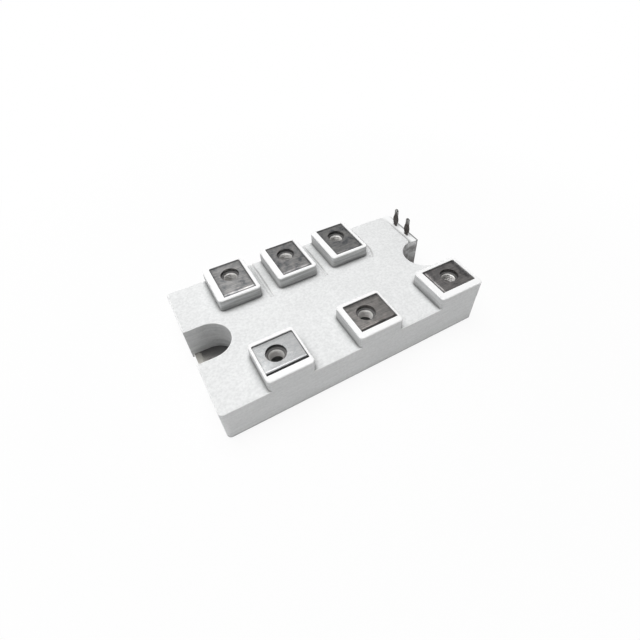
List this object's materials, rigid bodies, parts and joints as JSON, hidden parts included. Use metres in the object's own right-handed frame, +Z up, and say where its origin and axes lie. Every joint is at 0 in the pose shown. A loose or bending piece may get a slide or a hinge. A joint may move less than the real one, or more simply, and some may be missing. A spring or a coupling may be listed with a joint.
{
  "type": "thyristor module",
  "caption": "Flat power module with screw terminals in raised bosses, a metal baseplate with end slots for fixing screws, and blade contacts for the gate.",
  "frame": {"origin": "middle of the underside of the baseplate, half way along and across the housing", "axes": "+X along the module from the deep screw slot to the end with the blade contacts, +Y from the front row to the rear row of terminals, +Z up from the cooling face"},
  "size_m": [0.094, 0.054, 0.0208],
  "materials": {
    "moulding": "fine grained, as moulded",
    "base_nickel": "nickel plated copper, satin",
    "terminal_nickel": "nickel plated copper, dulled",
    "nut_zinc": "zinc plated",
    "blade_tin": "tin plated, dulled",
    "adhesive": "cured bead",
    "gel": "clear soft silicone",
    "solder": "reflowed",
    "track_copper": "bare copper",
    "alumina": "sintered",
    "silicon": "polished with metal contact layer",
    "bond_aluminium": "drawn wire",
    "lead_sleeve": "insulated wire"
  },
  "bodies": {
    "root": {"baseplate": "base_nickel", "housing": "moulding", "terminal_ac1": "terminal_nickel", "terminal_ac2": "terminal_nickel", "terminal_ac3": "terminal_nickel", "terminal_minus": "terminal_nickel", "terminal_plus": "terminal_nickel", "terminal_output": "terminal_nickel", "terminal_nuts": "nut_zinc", "gate_tab": "blade_tin", "cathode_tab": "blade_tin", "adhesive_seal": "adhesive", "substrate_solder": "solder", "substrate_back_copper": "track_copper", "substrate_ceramic": "alumina", "substrate_tracks": "track_copper", "chip_solder": "solder", "diode_chips": "silicon", "thyristor_chip": "silicon", "diode_clips": "track_copper", "thyristor_clip": "track_copper", "gate_bond_wire": "bond_aluminium", "gate_lead": "lead_sleeve", "cathode_lead": "lead_sleeve", "silicone_gel": "gel"}
  },
  "joints": []
}
